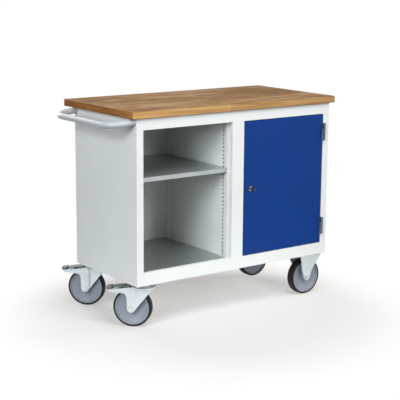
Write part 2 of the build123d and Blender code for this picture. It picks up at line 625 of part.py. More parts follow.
def build_lock():
    flange = lock_bore(LOCK_FLANGE_RADIUS, -LOCK_FLANGE_THICKNESS, LOCK_FLANGE_THICKNESS)
    barrel = lock_bore(LOCK_BARREL_RADIUS, 0, LOCK_BARREL_LENGTH)
    plug_length = LOCK_FLANGE_THICKNESS + LOCK_BARREL_LENGTH
    bore = lock_bore(PLUG_RADIUS + PLUG_RUNNING_GAP, -LOCK_FLANGE_THICKNESS, plug_length)
    save("lock_barrel", flange + barrel - bore)

    nut = hexagon((LOCK_X, DOOR_THICKNESS, LOCK_Z), (0, 1, 0), LOCK_NUT_RADIUS, LOCK_NUT_THICKNESS)
    nut_hole = lock_bore(LOCK_BARREL_RADIUS + FASTENER_GAP, DOOR_THICKNESS, LOCK_NUT_THICKNESS)
    save("lock_nut", nut - nut_hole)

    plug = lock_bore(PLUG_RADIUS, -LOCK_FLANGE_THICKNESS, plug_length + CAM_GAP)
    keyway = block((LOCK_X - KEYWAY_WIDTH / 2, LOCK_X + KEYWAY_WIDTH / 2),
                   (-LOCK_FLANGE_THICKNESS, -LOCK_FLANGE_THICKNESS + KEY_INSERTION + CAM_GAP),
                   (LOCK_Z - KEYWAY_HEIGHT / 2, LOCK_Z + KEYWAY_HEIGHT / 2))
    save("lock_plug", plug - keyway)

    tip_z = LOCK_Z - CAM_REACH + CAM_HALF_WIDTH
    finger = block((LOCK_X - CAM_HALF_WIDTH, LOCK_X + CAM_HALF_WIDTH), (CAM_Y, CAM_Y + CAM_THICKNESS),
                   (tip_z, LOCK_Z))
    tip = rod((LOCK_X, CAM_Y, tip_z), (0, 1, 0), CAM_HALF_WIDTH, CAM_THICKNESS)
    save("lock_cam", lock_bore(CAM_HALF_WIDTH, CAM_Y, CAM_THICKNESS) + finger + tip)

    strike_front = CAM_Y - STRIKE_GAP - STRIKE_SHEET
    height = (LOCK_Z - STRIKE_HEIGHT / 2, STRIKE_TOP)
    wall = RIGHT_BAY[0]
    lip = block((wall, wall + STRIKE_REACH), (strike_front, strike_front + STRIKE_SHEET), height)
    leg = block((wall, wall + STRIKE_SHEET), (strike_front, strike_front + STRIKE_DEPTH), height)
    save("lock_strike", lip + leg)

    face = -LOCK_FLANGE_THICKNESS
    blade = block((LOCK_X - KEY_THICKNESS / 2, LOCK_X + KEY_THICKNESS / 2),
                  (face - KEY_STEM, face + KEY_INSERTION),
                  (LOCK_Z - KEY_HEIGHT / 2, LOCK_Z + KEY_HEIGHT / 2))
    bow = block((LOCK_X - KEY_THICKNESS / 2, LOCK_X + KEY_THICKNESS / 2),
                (face - KEY_STEM - KEY_BOW_LENGTH, face - KEY_STEM),
                (LOCK_Z - KEY_BOW_HEIGHT / 2, LOCK_Z + KEY_BOW_HEIGHT / 2))
    bow = fillet(bow.edges().filter_by(Axis.X), KEY_BOW_LENGTH / 3)
    ring_hole = rod((LOCK_X - KEY_THICKNESS / 2, face - KEY_STEM - KEY_BOW_LENGTH * 0.65, LOCK_Z),
                    (1, 0, 0), KEY_BOW_LENGTH / 5, KEY_THICKNESS)
    save("key", blade + bow - ring_hole)


# ---------------------------------------------------------------- castors
def wheel_hub():
    """Wheel centre about the Z axis: rim, web, boss and radial ribs, bored for the axle."""
    hub = Cylinder(HUB_RADIUS - TYRE_SEAT_GAP, RIM_WIDTH)
    hub -= Cylinder(HUB_RADIUS - RIM_THICKNESS, RIM_WIDTH)
    hub += Cylinder(HUB_RADIUS - RIM_THICKNESS, WEB_THICKNESS)
    rib_length = HUB_RADIUS - RIM_THICKNESS
    for index in range(RIB_COUNT):
        rib = Pos(rib_length / 2, 0, 0) * Box(rib_length, RIB_THICKNESS, RIB_HEIGHT)
        hub += Rot(0, 0, index * 360 / RIB_COUNT) * rib
    hub += Cylinder(BOSS_RADIUS, FORK_INNER_WIDTH - 2 * BOSS_SIDE_GAP)
    return hub - Cylinder(AXLE_RADIUS + AXLE_RUNNING_GAP, FORK_INNER_WIDTH)


def tyre():
    """Tyre about the Z axis, with rounded shoulders."""
    ring = Cylinder(WHEEL_RADIUS, TYRE_WIDTH)
    ring = fillet(ring.edges(), TYRE_SHOULDER)
    return ring - Cylinder(HUB_RADIUS, TYRE_WIDTH)


def axle(half):
    """Axle bolt and its nut, along the local Y axis at wheel height; half is the fork's half width."""
    radius = AXLE_RADIUS
    start = (0, half, WHEEL_RADIUS)
    back = (0, -1, 0)
    head = hexagon(start, (0, 1, 0), AXLE_HEAD_RADIUS, AXLE_HEAD_HEIGHT)
    bolt = head + rod(start, back, radius, 2 * half + AXLE_HEAD_HEIGHT)
    nut_start = (0, -half, WHEEL_RADIUS)
    nut = hexagon(nut_start, back, AXLE_HEAD_RADIUS, AXLE_HEAD_HEIGHT)
    nut -= rod(nut_start, back, radius + FASTENER_GAP, AXLE_HEAD_HEIGHT)
    return [bolt, nut]


def tip_tangent(top_x, top_z, side):
    """Where a line from a top corner touches the round tip around the axle.

    side is 1 for the corner behind the axle and -1 for the one ahead of it.
    """
    reach = sqrt(top_x**2 + (top_z - WHEEL_RADIUS)**2)
    lean = atan(abs(top_x) / (top_z - WHEEL_RADIUS))
    opening = atan(sqrt(reach**2 - FORK_TIP_RADIUS**2) / FORK_TIP_RADIUS)
    angle = lean + opening
    return (side * FORK_TIP_RADIUS * sin(angle), WHEEL_RADIUS + FORK_TIP_RADIUS * cos(angle))


def tip_face(front_corner, back_corner):
    """Face in local X and Z: two top corners joined to a round tip around the axle."""
    front = tip_tangent(*front_corner, -1)
    back = tip_tangent(*back_corner, 1)
    bottom = (0, WHEEL_RADIUS - FORK_TIP_RADIUS)
    edges = [Line(front_corner, front), ThreePointArc(front, bottom, back),
             Line(back, back_corner), Line(back_corner, front_corner)]
    return make_face(edges)


def upright_plane(y):
    """Plane in local X and Z at a given local Y, facing back along -Y."""
    return Plane(origin=(0, y, 0), x_dir=(1, 0, 0), z_dir=(0, -1, 0))


def axle_hole():
    return rod((0, -2 * FORK_HALF, WHEEL_RADIUS), (0, 1, 0), AXLE_RADIUS + FASTENER_GAP, 4 * FORK_HALF)


def leg_slope(side, room):
    """Wedge that joins a leg's front edge to the cheek beside it, kept within the cheek's outline."""
    proud = side * (FORK_HALF + LEG_PROUD)
    points = [(-LEG_FRONT - LEG_SLOPE, side * FORK_HALF), (-LEG_FRONT / 2, side * FORK_HALF),
              (-LEG_FRONT / 2, proud), (-LEG_FRONT, proud)]
    low = WHEEL_RADIUS - FORK_TIP_RADIUS
    wedge = outline(points, Plane(origin=(0, 0, low)), CROWN_TOP - low)
    return wedge & room


def swivel_fork():
    """Swivel fork about the axle: crown, two cheeks, and proud legs with arms to the rear."""
    crown_bottom = CROWN_TOP - FORK_SHEET
    head_end = -SWIVEL_OFFSET - CROWN_RADIUS * HEAD_SHARE
    arm_slope = (CROWN_TOP - ARM_TIP_TOP) / (ARM_REACH + LEG_FRONT)
    leg_corner = (LEG_BACK, CROWN_TOP - arm_slope * (LEG_BACK + LEG_FRONT))
    leg = tip_face((-LEG_FRONT, CROWN_TOP), leg_corner)
    leg += make_face(Polyline((-LEG_FRONT, CROWN_TOP), (0, ARM_BOTTOM), (ARM_REACH, ARM_TIP_BOTTOM),
                              (ARM_REACH, ARM_TIP_TOP), close=True))
    arch_end = LEG_BACK + LEG_ARCH_RADIUS
    arch_top = ARM_BOTTOM - (ARM_BOTTOM - ARM_TIP_BOTTOM) * arch_end / ARM_REACH
    arch_start = arch_top - LEG_ARCH_RADIUS
    slant = 1 - sqrt(0.5)
    bulge = (LEG_BACK + slant * LEG_ARCH_RADIUS, arch_top - slant * LEG_ARCH_RADIUS)
    leg += make_face([Line((0, arch_start), (0, ARM_BOTTOM)),
                      Line((0, ARM_BOTTOM), (arch_end, arch_top)),
                      ThreePointArc((arch_end, arch_top), bulge, (LEG_BACK, arch_start)),
                      Line((LEG_BACK, arch_start), (0, arch_start))])
    cheek = leg + tip_face((head_end, CROWN_TOP), leg_corner)
    cheek += make_face(Polyline((head_end, CROWN_TOP), (-LEG_FRONT, CROWN_TOP), leg_corner, close=True))
    slope_room = extrude(upright_plane(2 * FORK_HALF) * tip_face((head_end, CROWN_TOP), leg_corner),
                         4 * FORK_HALF)
    cheeks = []
    for side in (-1, 1):
        inner = side * FORK_INNER_WIDTH / 2
        plane = upright_plane(max(inner, inner + side * FORK_SHEET))
        sheet = extrude(plane * cheek, FORK_SHEET)
        outer = side * FORK_HALF
        rib_plane = upright_plane(max(outer, outer + side * LEG_PROUD))
        cheeks.append(sheet + extrude(rib_plane * leg, LEG_PROUD) + leg_slope(side, slope_room))
    crown = Pos(-SWIVEL_OFFSET, 0, crown_bottom) * extrude(Circle(CROWN_RADIUS), FORK_SHEET)
    fork = crown + cheeks[0] + cheeks[1] - axle_hole()
    king_radius = KINGPIN_RADIUS + KINGPIN_RUNNING_GAP
    fork -= rod((-SWIVEL_OFFSET, 0, crown_bottom), (0, 0, 1), king_radius, FORK_SHEET)
    pin = rod((PEDAL_PIVOT_BACK - SWIVEL_OFFSET, -2 * FORK_HALF, PEDAL_PIVOT_HEIGHT), (0, 1, 0),
              PEDAL_PIN_RADIUS + FASTENER_GAP, 4 * FORK_HALF)
    return fork - pin


def fixed_fork():
    """Fixed fork about the axle: plate and two cheeks that lean out to the plate's edges."""
    top = PLATE_BOTTOM
    plate = block((-PLATE_LENGTH / 2, PLATE_LENGTH / 2), (-PLATE_WIDTH / 2, PLATE_WIDTH / 2),
                  (top, PLATE_TOP))
    half = FIXED_CHEEK_TOP / 2
    cheek_face = tip_face((-half, top), (half, top))
    cheek_room = extrude(upright_plane(PLATE_WIDTH / 2) * cheek_face, PLATE_WIDTH)
    fork = plate
    inner = FORK_INNER_WIDTH / 2
    edge = PLATE_WIDTH / 2
    low = WHEEL_RADIUS - 2 * FORK_TIP_RADIUS
    section = [(inner, low), (FORK_HALF, low), (FORK_HALF, FIXED_SPLAY_START), (edge, top),
               (edge - FORK_SHEET, top), (inner, FIXED_SPLAY_START)]
    plane = Plane(origin=(-PLATE_LENGTH / 2, 0, 0), x_dir=(0, 1, 0), z_dir=(1, 0, 0))
    for side in (-1, 1):
        bent = outline([(side * y, z) for y, z in section], plane, PLATE_LENGTH)
        fork += bent & cheek_room
        proud = [(side * (y + FIXED_PROUD), z) for y, z in section]
        fork += outline(proud, plane, PLATE_LENGTH / 2 - FIXED_PROUD_END) & cheek_room
    fork -= axle_hole()
    radius = PLATE_BOLT_RADIUS + FASTENER_GAP
    for side_x in (-0.5, 0.5):
        for side_y in (-0.5, 0.5):
            place = (side_x * PLATE_HOLE_SPACING_X, side_y * PLATE_HOLE_SPACING_Y, top)
            fork -= rod(place, (0, 0, 1), radius, PLATE_THICKNESS)
    return fork


def shoe_bottom():
    """Height of the brake shoe's lower edge that leaves its gap to the tyre when braked."""
    turn = radians(PEDAL_LEAN + PEDAL_PRESS)
    ahead = SHOE_BACK - SHOE_LENGTH / 2 - PEDAL_PIVOT_BACK
    a = PEDAL_PIVOT_BACK - SWIVEL_OFFSET + ahead * cos(turn)
    b = PEDAL_PIVOT_HEIGHT - ahead * sin(turn) - WHEEL_RADIUS
    along = a * sin(turn) + b * cos(turn)
    reach = WHEEL_RADIUS + SHOE_GAP
    return PEDAL_PIVOT_HEIGHT - along + sqrt(along**2 - a**2 - b**2 + reach**2)


def pedal():
    """Brake pedal about the axle: plate, neck, round tip, two lugs on the pin and a shoe."""
    bottom = PEDAL_TOP - PEDAL_SHEET
    start = PEDAL_START - SWIVEL_OFFSET
    neck = PEDAL_NECK - SWIVEL_OFFSET
    end = PEDAL_END - SWIVEL_OFFSET
    half = PEDAL_WIDTH / 2
    taper = neck - (half - PEDAL_NECK_WIDTH / 2)
    plate = make_face(Polyline((start, -half), (taper, -half), (neck, -PEDAL_NECK_WIDTH / 2),
                               (neck, PEDAL_NECK_WIDTH / 2), (taper, half), (start, half), close=True))
    shape = Pos(0, 0, bottom) * extrude(plate, PEDAL_SHEET)
    tip_top = PEDAL_TOP + PEDAL_TIP_RISE
    tip = block((neck, end), (-PEDAL_TIP_WIDTH / 2, PEDAL_TIP_WIDTH / 2),
                (tip_top - PEDAL_TIP_DEPTH, tip_top))
    tip = fillet(tip.edges().filter_by(Axis.Z), PEDAL_CORNER)
    tip = fillet(tip.edges().group_by(Axis.Z)[-1], PEDAL_TIP_RISE)
    shape += tip
    pivot_x = PEDAL_PIVOT_BACK - SWIVEL_OFFSET
    for side in (-1, 1):
        face = side * half
        y = sorted((face, face - side * PEDAL_LUG_THICKNESS))
        lug = block((pivot_x - PEDAL_LUG_RADIUS, pivot_x + PEDAL_LUG_RADIUS), y,
                    (PEDAL_PIVOT_HEIGHT, bottom))
        lug += rod((pivot_x, y[0], PEDAL_PIVOT_HEIGHT), (0, 1, 0), PEDAL_LUG_RADIUS, PEDAL_LUG_THICKNESS)
        shape += lug
    shoe_x = SHOE_BACK - SWIVEL_OFFSET
    shape += block((shoe_x - SHOE_LENGTH / 2, shoe_x + SHOE_LENGTH / 2),
                   (-SHOE_WIDTH / 2, SHOE_WIDTH / 2), (shoe_bottom(), bottom))
    pin = rod((pivot_x, -half, PEDAL_PIVOT_HEIGHT), (0, 1, 0), PEDAL_PIN_RADIUS + PEDAL_PIN_GAP,
              PEDAL_WIDTH)
    shape -= pin
    return shape.rotate(Axis((pivot_x, 0, PEDAL_PIVOT_HEIGHT), (0, 1, 0)), PEDAL_LEAN)


def pedal_pin():
    length = 2 * (FORK_HALF + LEG_PROUD)
    pivot_x = PEDAL_PIVOT_BACK - SWIVEL_OFFSET
    start = (pivot_x, -length / 2, PEDAL_PIVOT_HEIGHT)
    return rod(start, (0, 1, 0), PEDAL_PIN_RADIUS, length)


def castor_plate():
    """Top plate of a swivel castor about the swivel axis, with its ball race."""
    plate = block((-PLATE_LENGTH / 2, PLATE_LENGTH / 2), (-PLATE_WIDTH / 2, PLATE_WIDTH / 2),
                  (PLATE_BOTTOM, PLATE_TOP))
    race_bottom = CROWN_TOP + RACE_GAP
    plate += rod((0, 0, race_bottom), (0, 0, 1), RACE_RADIUS, PLATE_BOTTOM - race_bottom)
    plate -= rod((0, 0, race_bottom), (0, 0, 1), KINGPIN_RADIUS + FASTENER_GAP,
                 PLATE_TOP - race_bottom)
    radius = PLATE_BOLT_RADIUS + FASTENER_GAP
    for side_x in (-0.5, 0.5):
        for side_y in (-0.5, 0.5):
            place = (side_x * PLATE_HOLE_SPACING_X, side_y * PLATE_HOLE_SPACING_Y, PLATE_BOTTOM)
            plate -= rod(place, (0, 0, 1), radius, PLATE_THICKNESS)
    return plate


def kingpin():
    crown_bottom = CROWN_TOP - FORK_SHEET
    head_top = crown_bottom - RACE_GAP
    head = rod((0, 0, head_top - KINGPIN_HEAD_HEIGHT), (0, 0, 1), KINGPIN_HEAD_RADIUS,
               KINGPIN_HEAD_HEIGHT)
    return head + rod((0, 0, head_top), (0, 0, 1), KINGPIN_RADIUS, PLATE_TOP - head_top)


def build_castors():
    spin = Location((0, 0, WHEEL_RADIUS), (90, 0, 0))
    plates = []
    kingpins = []
    right_axles = []
    for name, axis_y in zip(("front", "rear"), LEFT_SWIVELS):
        axis = Location((SWIVEL_INSET_X, axis_y, 0))
        frame = axis * Location((0, 0, 0), (0, 0, TRAIL_ANGLE)) * Location((SWIVEL_OFFSET, 0, 0))
        save(f"{name}_left_fork", swivel_fork().moved(frame))
        save(f"{name}_left_axle", *[piece.moved(frame) for piece in axle(FORK_HALF + LEG_PROUD)])
        save(f"{name}_left_pedal", pedal().moved(frame))
        save(f"{name}_left_pedal_pin", pedal_pin().moved(frame))
        save(f"{name}_left_hub", wheel_hub().moved(frame * spin))
        save(f"{name}_left_tyre", tyre().moved(frame * spin))
        plates.append(castor_plate().moved(axis))
        kingpins.append(kingpin().moved(axis))

        fixed = Location((FIXED_X, axis_y, 0))
        save(f"{name}_right_fork", fixed_fork().moved(fixed))
        right_axles.extend(piece.moved(fixed) for piece in axle(FORK_HALF))
        save(f"{name}_right_hub", wheel_hub().moved(fixed * spin))
        save(f"{name}_right_tyre", tyre().moved(fixed * spin))
    save("swivel_castor_plates", *plates)
    save("castor_kingpins", *kingpins)
    save("right_axles", *right_axles)

    bolts = []
    nuts = []
    channel_top = BASE_TOP + CHANNEL_SHEET
    up = (0, 0, 1)
    for x, y in castor_bolt_places():
        head = hexagon((x, y, PLATE_BOTTOM), (0, 0, -1), PLATE_BOLT_HEAD_RADIUS, PLATE_BOLT_HEAD_HEIGHT)
        length = channel_top + PLATE_NUT_HEIGHT + BOLT_TAIL - PLATE_BOTTOM
        bolts.append(head + rod((x, y, PLATE_BOTTOM), up, PLATE_BOLT_RADIUS, length))
        nut = hexagon((x, y, channel_top), up, PLATE_BOLT_HEAD_RADIUS, PLATE_NUT_HEIGHT)
        nut_hole = rod((x, y, channel_top), up, PLATE_BOLT_RADIUS + FASTENER_GAP, PLATE_NUT_HEIGHT)
        nuts.append(nut - nut_hole)
    save("castor_bolts", *bolts)
    save("castor_nuts", *nuts)


os.makedirs("parts", exist_ok=True)
build_shell()
build_uprights()
build_shelves()
build_worktop()
build_handle()
build_door()
build_hinges()
build_lock()
build_castors()
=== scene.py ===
"""Looks of the mobile workbench: finishes, softened edges, dished wheels, studio and camera.

Everything is in metres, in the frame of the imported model: +Z up, -Y is the bench's front, and the
origin is on the floor under its middle.
"""
import json
from math import cos, pi, radians, sin

import bmesh
import bpy
from mathutils import Matrix, Vector

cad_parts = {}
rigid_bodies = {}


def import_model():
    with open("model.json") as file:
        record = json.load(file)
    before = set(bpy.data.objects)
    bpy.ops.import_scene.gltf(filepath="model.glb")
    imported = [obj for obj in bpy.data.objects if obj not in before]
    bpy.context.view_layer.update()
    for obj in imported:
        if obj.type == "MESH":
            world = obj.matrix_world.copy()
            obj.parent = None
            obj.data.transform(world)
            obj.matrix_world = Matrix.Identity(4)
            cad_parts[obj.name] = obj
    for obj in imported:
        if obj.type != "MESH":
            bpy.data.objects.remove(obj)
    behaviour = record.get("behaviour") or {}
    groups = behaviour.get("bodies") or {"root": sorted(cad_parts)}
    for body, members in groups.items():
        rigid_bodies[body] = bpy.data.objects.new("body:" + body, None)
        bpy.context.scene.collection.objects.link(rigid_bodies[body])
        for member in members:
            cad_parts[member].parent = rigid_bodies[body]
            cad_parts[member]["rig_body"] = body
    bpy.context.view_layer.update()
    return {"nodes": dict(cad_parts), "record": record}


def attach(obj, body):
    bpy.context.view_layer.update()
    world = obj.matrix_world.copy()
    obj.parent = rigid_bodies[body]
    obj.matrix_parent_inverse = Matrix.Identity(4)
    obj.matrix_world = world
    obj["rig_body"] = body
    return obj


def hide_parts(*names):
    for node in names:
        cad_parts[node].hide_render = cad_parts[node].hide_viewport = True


# ---------------------------------------------------------------- settings
# Camera
CAMERA_AT = (-2.9232, -4.0514, 1.4954)
CAMERA_YAW = radians(36.2)        # to the right of straight ahead
CAMERA_PITCH = radians(11.67)     # below level
CAMERA_ROLL = radians(0.41)
CAMERA_LENS = 101.9
CAMERA_REACH = 100

# Light. Each lamp has its degrees to the left of straight ahead of the bench, its degrees above
# level, the length of its side, its level and its colour.
LAMPS = (
    ("high_softbox", 8, 55, 2.2, 0.7, (1.0, 1.0, 1.0)),
    ("front_softbox", -14, 21, 1.2, 0.34, (1.0, 1.0, 1.0)),
    ("left_softbox", 63, 21, 1.8, 0.78, (0.91, 0.945, 1.0)),
    ("right_softbox", -72, 25, 1.8, 0.42, (1.0, 1.0, 1.0)),
    ("rear_softbox", 174, 18, 2.0, 0.6, (1.0, 1.0, 1.0)),
)
LAMP_TARGET = (0.0, 0.0, 0.5)
LAMP_DISTANCE = 4.5
AMBIENT = 0.02
BACKDROP = 1.0
FLOOR_SIZE = 30.0
FLOOR_BOUNCE = 0.93               # floor's colour for the light that it throws back on the bench
FLOOR_SEEN = 0.38                 # and as the camera sees it, where the lift below is added
FLOOR_LIFT = 0.345                # light of its own near the bench, seen directly or in reflections
FLOOR_WARMTH = (1.0, 0.975, 0.95, 1.0)
FLOOR_MIDDLE = (-0.06, -0.2)
FLOOR_FADE = (0.5, 0.98)          # distances from that middle over which the floor turns white

# Edges, in metres
SHEET_EDGE = 0.0005
TOP_EDGE = 0.0012
MERGE_DISTANCE = 1e-6             # corners closer than this are one
FLAT_ANGLE = radians(1)           # faces within this are one face
SHARP_ANGLE = radians(40)         # edges sharper than this are rounded

# Wheel discs, in metres from the axle and from the wheel's middle
BOSS_RADIUS = 0.017
RIM_RADIUS = 0.070
WEB_FACE = (0.011, 0.012)         # web, and its ribs
WEB_SLACK = 0.0003                # tolerance in finding the disc's points
WEB_DISH = 0.0085                 # depth of the hollow at the boss
WEB_CUTS = 5
WEB_SHARP_ANGLE = radians(28)

# Worktop
STAVE_WIDTH = 0.042
STAVE_LENGTH = 0.62
STAVE_OFFSET = 0.37               # share of a stave's length by which every second row is shifted
STAVE_LEVELS = (0.76, 1.12)       # darkest and palest stave
GLUE_LINE = 0.0004
GLUE_LEVEL = 0.62
GRAIN_SCALE = (2.2, 46, 46)       # stretched along the staves, as are pores and the top's blotches of wear, painted shade and sheen
PORE_SCALE = (28, 520, 520)
RING_SCALE = (1, 5, 130)
# blotches on the top: partly real wear, partly painted shade and painted sheen
WEAR_AND_SHADE_SCALE = (3.5, 10.0, 10.0)
FACING = 0.7                      # a normal's share along an axis that counts as facing that way
PORE_DEPTH = 0.0003

# Other finishes: scales of the clouds in tone and gloss, and of the fine surface texture
COAT_CLOUDS, COAT_PEEL = 5.0, 420.0
ZINC_CLOUDS, ZINC_TEXTURE = 9.0, 260.0
PLASTIC_CLOUDS, PLASTIC_TEXTURE = 30.0, 700.0
TEXTURE_DEPTH = 0.0002

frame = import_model()
nodes = frame["nodes"]


def srgb(red, green, blue):
    """Linear colour from 0-255 screen values."""
    def linear(value):
        value /= 255
        return value / 12.92 if value <= 0.04045 else ((value + 0.055) / 1.055) ** 2.4
    return (linear(red), linear(green), linear(blue), 1.0)


# ---------------------------------------------------------------- node helpers
class Shader:
    """A Principled material and short ways to add nodes to it."""

    def __init__(self, name, colour, roughness, metallic=0.0):
        self.material = bpy.data.materials.new(name)
        self.material.use_nodes = True
        self.tree = self.material.node_tree
        self.main = self.tree.nodes["Principled BSDF"]
        self.main.inputs["Base Color"].default_value = colour
        self.main.inputs["Roughness"].default_value = roughness
        self.main.inputs["Metallic"].default_value = metallic

    def add(self, kind, **values):
        node = self.tree.nodes.new(kind)
        for name, value in values.items():
            setattr(node, name, value)
        return node

    def join(self, source, target):
        self.tree.links.new(source, target)

    def place(self, scale=(1, 1, 1), offset=(0, 0, 0)):
        """Object coordinates, stretched."""
        coordinates = self.add("ShaderNodeTexCoord")
        mapping = self.add("ShaderNodeMapping")
        mapping.inputs["Scale"].default_value = scale
        mapping.inputs["Location"].default_value = offset
        self.join(coordinates.outputs["Object"], mapping.inputs["Vector"])
        return mapping.outputs["Vector"]

    def noise(self, where, scale, detail=2.0, roughness=0.5, distortion=0.0):
        node = self.add("ShaderNodeTexNoise")
        node.inputs["Scale"].default_value = scale
        node.inputs["Detail"].default_value = detail
        node.inputs["Roughness"].default_value = roughness
        node.inputs["Distortion"].default_value = distortion
        self.join(where, node.inputs["Vector"])
        return node.outputs["Fac"]

    def ramp(self, factor, stops):
        """Colour ramp from a list of (position, colour)."""
        node = self.add("ShaderNodeValToRGB")
        elements = node.color_ramp.elements
        while len(elements) < len(stops):
            elements.new(0.5)
        for element, (position, colour) in zip(elements, stops):
            element.position = position
            element.color = colour
        self.join(factor, node.inputs["Fac"])
        return node.outputs["Color"]

    def spread(self, factor, low, high):
        """A 0-1 factor mapped to a range."""
        node = self.add("ShaderNodeMapRange")
        node.inputs["To Min"].default_value = low
        node.inputs["To Max"].default_value = high
        self.join(factor, node.inputs["Value"])
        return node.outputs["Result"]

    def blend(self, factor, first, second, mode="MIX"):
        """Mix of two colours; a factor or colour is a socket or a value."""
        node = self.add("ShaderNodeMix", data_type="RGBA", blend_type=mode)
        pairs = ((node.inputs[0], factor), (node.inputs[6], first), (node.inputs[7], second))
        for socket, value in pairs:
            if isinstance(value, bpy.types.NodeSocket):
                self.join(value, socket)
            else:
                socket.default_value = value
        return node.outputs[2]

    def colour(self, socket):
        self.join(socket, self.main.inputs["Base Color"])

    def rough(self, socket):
        self.join(socket, self.main.inputs["Roughness"])

    def bump(self, height, strength, distance):
        node = self.add("ShaderNodeBump")
        node.inputs["Strength"].default_value = strength
        node.inputs["Distance"].default_value = distance
        self.join(height, node.inputs["Height"])
        self.join(node.outputs["Normal"], self.main.inputs["Normal"])


def grey(level):
    return (level, level, level, 1.0)


# ---------------------------------------------------------------- materials
def powder_coat(name, colour, roughness, reflective=0.5):
    """Powder coat: slight orange peel, slight cloudiness in tone and gloss."""
    paint = Shader(name, colour, roughness)
    paint.main.inputs["Specular IOR Level"].default_value = reflective
    where = paint.place()
    cloud = paint.noise(where, COAT_CLOUDS, detail=3.0)
    tone = paint.ramp(cloud, [(0.3, grey(0.965)), (0.7, grey(1.0))])
    paint.colour(paint.blend(1.0, colour, tone, mode="MULTIPLY"))
    paint.rough(paint.spread(cloud, roughness - 0.04, roughness + 0.06))
    paint.bump(paint.noise(where, COAT_PEEL, detail=1.0), 0.12, TEXTURE_DEPTH)
    return paint.material


def zinc(name, colour, roughness, metallic, spangle):
    """Zinc-plated or galvanised steel: faint crystals and uneven gloss."""
    metal = Shader(name, colour, roughness, metallic)
    where = metal.place()
    crystals = metal.add("ShaderNodeTexVoronoi")
    crystals.inputs["Scale"].default_value = spangle
    metal.join(where, crystals.inputs["Vector"])
    cloud = metal.noise(where, ZINC_CLOUDS, detail=4.0)
    tone = metal.ramp(cloud, [(0.25, grey(0.88)), (0.75, grey(1.0))])
    flecks = metal.ramp(crystals.outputs["Color"], [(0.0, grey(0.94)), (1.0, grey(1.0))])
    tint = metal.blend(1.0, colour, tone, mode="MULTIPLY")
    metal.colour(metal.blend(1.0, tint, flecks, mode="MULTIPLY"))
    metal.rough(metal.spread(cloud, roughness - 0.05, roughness + 0.08))
    metal.bump(metal.noise(where, ZINC_TEXTURE, detail=2.0), 0.08, TEXTURE_DEPTH)
    return metal.material


def beech():
    """Edge-glued beech staves along X: pores, darker end grain on the ends, and on the top wear
    with painted shade and a painted grey sheen.
    """
    wood = Shader("beech", srgb(205, 160, 110), 0.42)
    wood.main.inputs["Specular IOR Level"].default_value = 0.06
    where = wood.place()

    staves = wood.add("ShaderNodeTexBrick", offset=STAVE_OFFSET, offset_frequency=2)
    staves.inputs["Color1"].default_value = grey(STAVE_LEVELS[0])
    staves.inputs["Color2"].default_value = grey(STAVE_LEVELS[1])
    staves.inputs["Mortar"].default_value = grey(GLUE_LEVEL)
    staves.inputs["Scale"].default_value = 1.0
    staves.inputs["Mortar Size"].default_value = GLUE_LINE
    staves.inputs["Mortar Smooth"].default_value = 0.3
    staves.inputs["Brick Width"].default_value = STAVE_LENGTH
    staves.inputs["Row Height"].default_value = STAVE_WIDTH
    wood.join(where, staves.inputs["Vector"])

    grain = wood.noise(wood.place(GRAIN_SCALE), 1.0, detail=6.0, roughness=0.65, distortion=0.5)
    long_grain = wood.ramp(grain, [(0.30, srgb(140, 98, 54)), (0.52, srgb(182, 141, 90)),
                                   (0.74, srgb(206, 168, 116))])
    pores = wood.noise(wood.place(PORE_SCALE), 1.0, detail=2.0)
    flecks = wood.ramp(pores, [(0.34, grey(0.78)), (0.44, grey(1.0))])
    face = wood.blend(1.0, long_grain, staves.outputs["Color"], mode="MULTIPLY")
    face = wood.blend(0.6, face, flecks, mode="MULTIPLY")

    rings = wood.noise(wood.place(RING_SCALE), 1.0, detail=5.0, roughness=0.6, distortion=0.4)
    end_grain = wood.ramp(rings, [(0.34, srgb(92, 54, 26)), (0.50, srgb(134, 88, 46)),
                                  (0.68, srgb(168, 118, 64))])

    facing = wood.add("ShaderNodeNewGeometry")
    split = wood.add("ShaderNodeSeparateXYZ")
    wood.join(facing.outputs["Normal"], split.inputs["Vector"])
    along = wood.add("ShaderNodeMath", operation="ABSOLUTE")
    wood.join(split.outputs["X"], along.inputs[0])
    is_end = wood.add("ShaderNodeMath", operation="GREATER_THAN")
    wood.join(along.outputs["Value"], is_end.inputs[0])
    is_end.inputs[1].default_value = FACING
    upward = wood.add("ShaderNodeMath", operation="GREATER_THAN")
    wood.join(split.outputs["Z"], upward.inputs[0])
    upward.inputs[1].default_value = FACING

    # On the top the staves are painted darker and greyer than on the sides: partly real wear in
    # blotches, partly painted shade and a painted grey sheen.
    wear_shade_cloud = wood.noise(wood.place(WEAR_AND_SHADE_SCALE), 1.0, detail=7.0, roughness=0.7, distortion=0.25)
    wear_and_shade_tones = wood.ramp(wear_shade_cloud, [(0.36, srgb(166, 160, 150)), (0.66, srgb(212, 206, 197))])
    sheen_and_wear_share = wood.ramp(wear_shade_cloud, [(0.48, grey(0.0)), (0.70, grey(0.45))])
    top_wear_shade_and_sheen = wood.blend(sheen_and_wear_share, wood.blend(1.0, face, wear_and_shade_tones, mode="MULTIPLY"), srgb(172, 157, 139))
    face = wood.blend(upward.outputs["Value"], face, top_wear_shade_and_sheen)
    wood.colour(wood.blend(is_end.outputs["Value"], face, end_grain))
    wood.rough(wood.spread(grain, 0.54, 0.68))
    wood.bump(pores, 0.15, PORE_DEPTH)
    return wood.material


def plastic(name, colour, roughness, reflective=0.5):
    """Moulded plastic or rubber: faint mottling and a fine texture."""
    moulded = Shader(name, colour, roughness)
    moulded.main.inputs["Specular IOR Level"].default_value = reflective
    where = moulded.place()
    cloud = moulded.noise(where, PLASTIC_CLOUDS, detail=3.0)
    tone = moulded.ramp(cloud, [(0.3, grey(0.9)), (0.7, grey(1.0))])
    moulded.colour(moulded.blend(1.0, colour, tone, mode="MULTIPLY"))
    moulded.rough(moulded.spread(cloud, roughness - 0.05, roughness + 0.08))
    moulded.bump(moulded.noise(where, PLASTIC_TEXTURE, detail=1.0), 0.1, TEXTURE_DEPTH)
    return moulded.material


